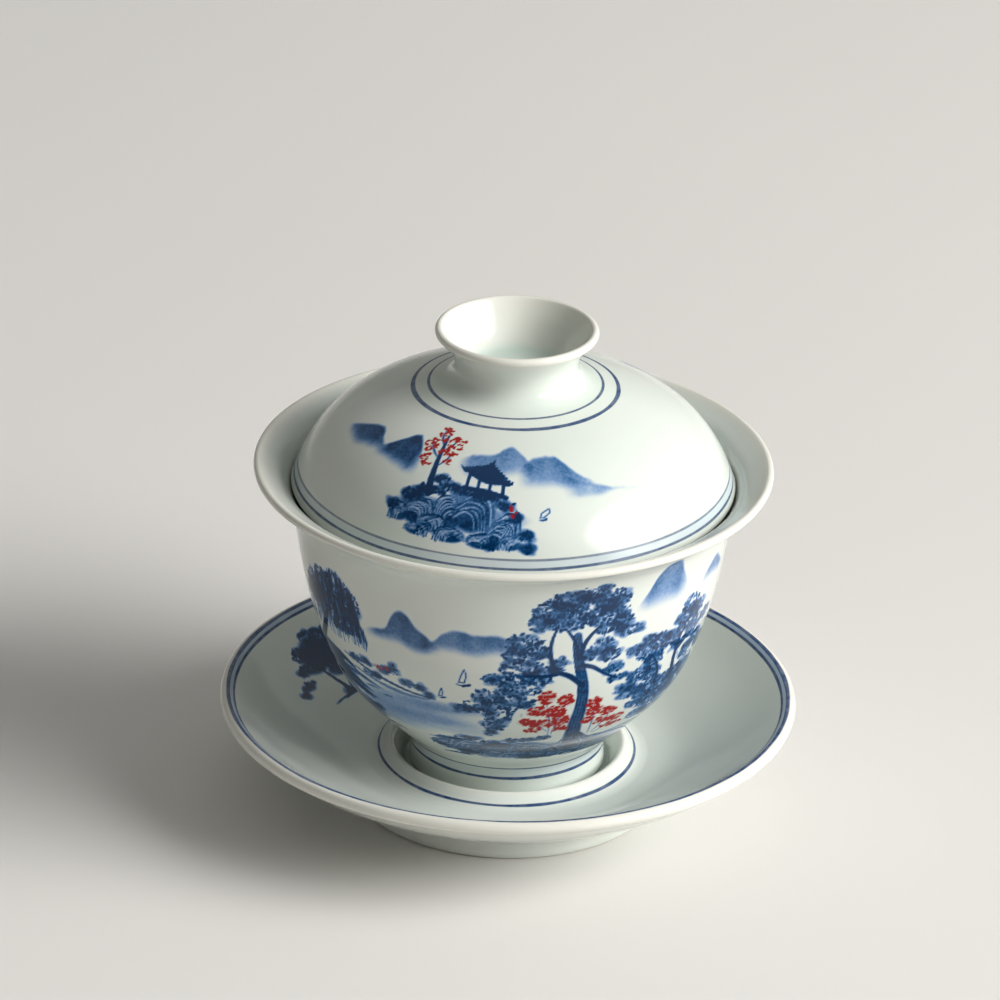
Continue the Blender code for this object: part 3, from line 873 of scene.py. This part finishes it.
def ring_amount(nodes, rings):
    """Brushed lines round the piece: their place wanders a little and their colour thins out and heaps."""
    track = nodes.attribute("track")
    sway = nodes.varied(22.0, 2.0, 0.5, -0.12, 0.12)
    track = nodes.math("ADD", track, sway)
    width_change = nodes.varied(55.0, 2.0, 0.6, 0.72, 1.28)
    total = None
    for place, width, strength in rings:
        distance = nodes.math("ABSOLUTE", nodes.math("SUBTRACT", track, place))
        half = nodes.times(width_change, width / 2.0)
        edge = nodes.math("DIVIDE", nodes.math("SUBTRACT", half, distance), RING_FADE)
        line = nodes.times(nodes.math("ADD", edge, 0.5, clamp=True), strength)
        total = line if total is None else nodes.math("MAXIMUM", total, line)
    ink = nodes.varied(380.0, 3.0, 0.6, 0.82, 1.0)
    return nodes.times(total, ink)


def red_amount(nodes):
    grain = nodes.varied(1300.0, 2.0, 0.6, 0.75, 1.1)
    return nodes.times(nodes.times(nodes.attribute("red"), 1.35), grain, clamp=True)


def glaze(nodes):
    """A glassy surface with the faint waviness of a poured glaze, and dry where the foot is bare."""
    shine = nodes.varied(90.0, 3.0, 0.6, 0.045, 0.08)
    dry = nodes.times(nodes.attribute("bare"), 0.45)
    nodes.link(nodes.math("ADD", shine, dry), nodes.shader.inputs["Roughness"])
    nodes.shader.inputs["IOR"].default_value = GLAZE_IOR
    wave = nodes.add("ShaderNodeBump")
    wave.inputs["Strength"].default_value = 0.14
    wave.inputs["Distance"].default_value = 0.0004
    height = nodes.math("ADD", nodes.noise(45.0, 2.0, 0.5), nodes.times(nodes.noise(240.0, 2.0, 0.5), 0.12))
    nodes.link(height, wave.inputs["Height"])
    nodes.link(wave.outputs["Normal"], nodes.shader.inputs["Normal"])


# ======== pieces
def new_object(name, data):
    """A new object that holds this mesh or camera, in the scene."""
    thing = bpy.data.objects.new(name, data)
    bpy.context.scene.collection.objects.link(thing)
    return thing


def nearest(outline, place, first=0):
    """How far along the outline its point nearest to this (radius, height) is, and that point's number."""
    reach = np.hypot(outline[first:, 0] - place[0], outline[first:, 1] - place[1])
    index = first + int(np.argmin(reach))
    return float(lengths_along(outline)[index]), index


def spread(outline, places):
    """A value for each ring, from (radius, height, value) places in order along the outline."""
    track = lengths_along(outline)
    tracks, values, first = [], [], 0
    for radius, height, value in places:
        where, first = nearest(outline, (radius, height), first)
        tracks.append(where)
        values.append(value)
    return np.interp(track, tracks, values)


def rings_at(outline, rings, first=0):
    """The rings, with each one's (radius, height) place turned into its length along the outline."""
    return [(nearest(outline, place, first)[0], width, strength) for place, width, strength in rings]


def make_piece(name, outline, material, height, canvas, **layers):
    """A turned piece with its painting and its glaze layers stored on the mesh."""
    mesh = turned_mesh(name, outline)
    store(mesh, "track", lengths_along(outline))
    store(mesh, "cobalt", canvas.cobalt)
    store(mesh, "red", canvas.red)
    for layer, places in layers.items():
        store(mesh, layer, spread(outline, places))
    mesh.materials.append(material)
    piece = new_object(name, mesh)
    piece.location = (0.0, 0.0, height * MM)
    return piece


def make_saucer():
    outline = saucer_outline()
    first = nearest(outline, (54, 20.4))[1]
    last = nearest(outline, (30, 9), first)[1]
    canvas = Canvas(outline, 0, first, last, SAUCER_SEED)
    paint_saucer(canvas)
    rings = rings_at(outline, (((56.65, 22.38), 0.85, 1), ((55.3, 21.47), 0.6, 1), ((26, 9.6), 0.6, 1)))
    colours = (219, 222, 216), (198, 211, 203), (222, 220, 211)
    material = porcelain("saucer_porcelain", colours, rings, 0.2)
    pool = [(25.4, 3.8, 0.3), (30.5, 0, 0), (33.4, 5.8, 0.15), (42, 9.9, 0.1), (28.6, 8.9, 0.35),
        (23.7, 11.4, 0), (20.6, WELL_FLOOR, 0.6), (0, WELL_FLOOR, 0.4)]
    thin = [(51, 15, 0), (SAUCER_RIM, 20.6, 0.7), (57.2, 22.35, 0.8), (55.6, 21.7, 0), (25, 10.6, 0),
        (23.7, 11.4, 0.5), (22.4, 10, 0)]
    bare = [(28.5, 0.4, 0), (28.9, 0, 1), (30.5, 0, 1), (30.9, 0.4, 0)]
    return make_piece("visual_saucer", outline, material, 0, canvas, pool=pool, thin=thin, bare=bare)


def make_bowl():
    outline = bowl_outline()
    foot = nearest(outline, (19.8, 0.6))[1]
    lip = nearest(outline, (50.5, 64.2), foot)[1]
    canvas = Canvas(outline, 1, foot, lip, BOWL_SEED)
    paint_bowl(canvas)
    rings = rings_at(outline, (((20.5, 4.9), 0.7, 1), ((20.7, 7.6), 0.45, 0.85)), foot)
    colours = (210, 214, 208), (193, 207, 199), (222, 220, 211)
    material = porcelain("bowl_porcelain", colours, rings, 0.05)
    pool = [(14.4, 5.4, 0.4), (19.2, 0, 0), (20.7, 7.6, 0.25), (24, 11, 0), (43.9, 55.2, 0),
        (41.3, 49.8, 0.2), (20, 12.4, 0.5), (0, 9.5, 0.6)]
    thin = [(48.4, 62.8, 0), (BOWL_RIM, 65, 0.75), (50.6, 65.9, 0.8), (48.6, 64.7, 0)]
    bare = [(17.5, 0.4, 0), (17.9, 0, 1), (19.2, 0, 1), (19.6, 0.4, 0)]
    return make_piece("visual_bowl", outline, material, BOWL_SEAT, canvas, pool=pool, thin=thin, bare=bare)


def make_lid():
    outline = lid_outline()
    edge = nearest(outline, (LID_RIM, 1))[1]
    shoulder = nearest(outline, (17.3, 22.2), edge)[1]
    canvas = Canvas(outline, 0, edge, shoulder, LID_SEED)
    paint_lid(canvas)
    rings = rings_at(outline, (((43.8, 2.4), 0.55, 0.95), ((43, 4), 0.45, 0.75), ((20.4, 21.4), 0.85, 1),
        ((17.4, 22.2), 0.55, 0.95)), edge)
    colours = (212, 216, 210), (190, 208, 199), (223, 221, 212)
    material = porcelain("lid_porcelain", colours, rings, 0.07)
    pool = [(0, 20.9, 0.4), (41.6, 3.6, 0.1), (43, 4, 0), (17.3, 22.2, 0.1), (14.3, 23.2, 0.35),
        (12.4, 25.4, 0.2), (14.4, 31.2, 0), (12.9, 31, 0), (9.8, 27, 0.1), (8.2, 25.85, 0.8),
        (0, 25.3, 0.9)]
    thin = [(41.9, 2.4, 0), (43.4, 0, 0.6), (44.3, 1, 0.3), (44.2, 1.8, 0), (14.4, 31.2, 0),
        (KNOB_RIM, 33, 0.7), (15.4, 34.2, 0.8), (12.9, 31, 0.5), (9.8, 27, 0.4), (8.2, 25.85, 0)]
    bare = [(42.9, 0.15, 0), (43.4, 0, 0)]
    return make_piece("visual_lid", outline, material, BOWL_SEAT + LID_SEAT, canvas,
                      pool=pool, thin=thin, bare=bare)


def make_pieces():
    for piece, node in ((make_saucer(), "saucer"), (make_bowl(), "bowl"), (make_lid(), "lid")):
        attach(piece, node)
        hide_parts(node)


# ======== studio
def make_camera():
    data = bpy.data.cameras.new("camera")
    data.lens = CAMERA_LENS
    data.sensor_width = CAMERA_SENSOR
    data.clip_start, data.clip_end = 0.1, 20.0
    camera = new_object("camera", data)
    lift = math.radians(CAMERA_ELEVATION)
    back = Vector((0.0, -math.cos(lift), math.sin(lift)))
    turn = Matrix.Rotation(math.radians(90.0 - CAMERA_ELEVATION), 4, "X")
    roll = Matrix.Rotation(math.radians(CAMERA_ROLL), 4, "Z")
    camera.matrix_world = Matrix.Translation(Vector(AIM) + back * CAMERA_DISTANCE) @ turn @ roll
    bpy.context.scene.camera = camera


def make_key():
    """The key light: a glowing panel that is even in its middle and fades out towards its edges."""
    wide, tall = KEY_SIZE[0] / 2.0, KEY_SIZE[1] / 2.0
    mesh = bpy.data.meshes.new("key")
    corners = [(-wide, -tall, 0), (wide, -tall, 0), (wide, tall, 0), (-wide, tall, 0)]
    mesh.from_pydata(corners, [], [(3, 2, 1, 0)])
    material = bpy.data.materials.new("key")
    nodes = Nodes(material)
    nodes.tree.nodes.remove(nodes.shader)
    share = nodes.add("ShaderNodeVectorMath", operation="DIVIDE")
    nodes.link(nodes.place(), share.inputs[0])
    share.inputs[1].default_value = (wide, tall, 1.0)
    reach = nodes.add("ShaderNodeVectorMath", operation="LENGTH")
    nodes.link(share.outputs[0], reach.inputs[0])
    glow = nodes.add("ShaderNodeEmission")
    glow.inputs["Color"].default_value = (*KEY_COLOUR, 1.0)
    nodes.link(nodes.remap(reach.outputs["Value"], KEY_EVEN, 1.0, KEY_STRENGTH, 0.0), glow.inputs["Strength"])
    nodes.link(glow.outputs[0], nodes.tree.nodes["Material Output"].inputs["Surface"])
    mesh.materials.append(material)
    panel = new_object("key", mesh)
    panel.location = KEY_PLACE
    panel.rotation_mode = "QUATERNION"
    panel.rotation_quaternion = (Vector(KEY_AIM) - Vector(KEY_PLACE)).to_track_quat("-Z", "Y")
    panel.visible_camera = False


def make_sky():
    """Soft fill from above and behind: the studio is brightest in one direction and dark away from it."""
    world = bpy.data.worlds.new("studio")
    nodes = Nodes(world)
    facing = nodes.add("ShaderNodeVectorMath", operation="DOT_PRODUCT")
    nodes.link(nodes.add("ShaderNodeTexCoord").outputs["Generated"], facing.inputs[0])
    facing.inputs[1].default_value = Vector(SKY_TOWARDS).normalized()
    sky = nodes.tree.nodes["Background"]
    sky.inputs["Color"].default_value = SKY_COLOUR
    nodes.link(nodes.remap(facing.outputs["Value"], -0.1, 1.0, 0.0, SKY_BRIGHT), sky.inputs["Strength"])
    bpy.context.scene.world = world


def make_floor():
    """A pale sweep: a wide floor that curves up far from the object."""
    profile = [(0.0, 0.0), (0.5, 0.0), (1.5, 0.0), (3.0, 0.0), (4.0, 0.12), (4.8, 0.5), (5.4, 1.2),
        (5.7, 2.2)]
    verts = [(0.0, 0.0, 0.0)]
    for radius, height in profile[1:]:
        for k in range(FLOOR_SIDES):
            turn = 2.0 * math.pi * k / FLOOR_SIDES
            verts.append((radius * math.cos(turn), radius * math.sin(turn), height))
    faces = [(0, 1 + k, 1 + (k + 1) % FLOOR_SIDES) for k in range(FLOOR_SIDES)]
    for ring in range(len(profile) - 2):
        low, high = 1 + ring * FLOOR_SIDES, 1 + (ring + 1) * FLOOR_SIDES
        for k in range(FLOOR_SIDES):
            after = (k + 1) % FLOOR_SIDES
            faces.append((low + k, high + k, high + after, low + after))
    mesh = bpy.data.meshes.new("floor")
    mesh.from_pydata(verts, [], faces)
    mesh.shade_smooth()
    material = bpy.data.materials.new("floor")
    nodes = Nodes(material)
    nodes.link(nodes.ramp(nodes.noise(2.0), FLOOR_TONES), nodes.shader.inputs["Base Color"])
    nodes.shader.inputs["Roughness"].default_value = 0.7
    mesh.materials.append(material)
    new_object("floor", mesh)


def main():
    make_camera()
    make_floor()
    make_key()
    make_sky()
    bpy.context.scene.view_settings.view_transform = "Standard"
    make_pieces()


main()
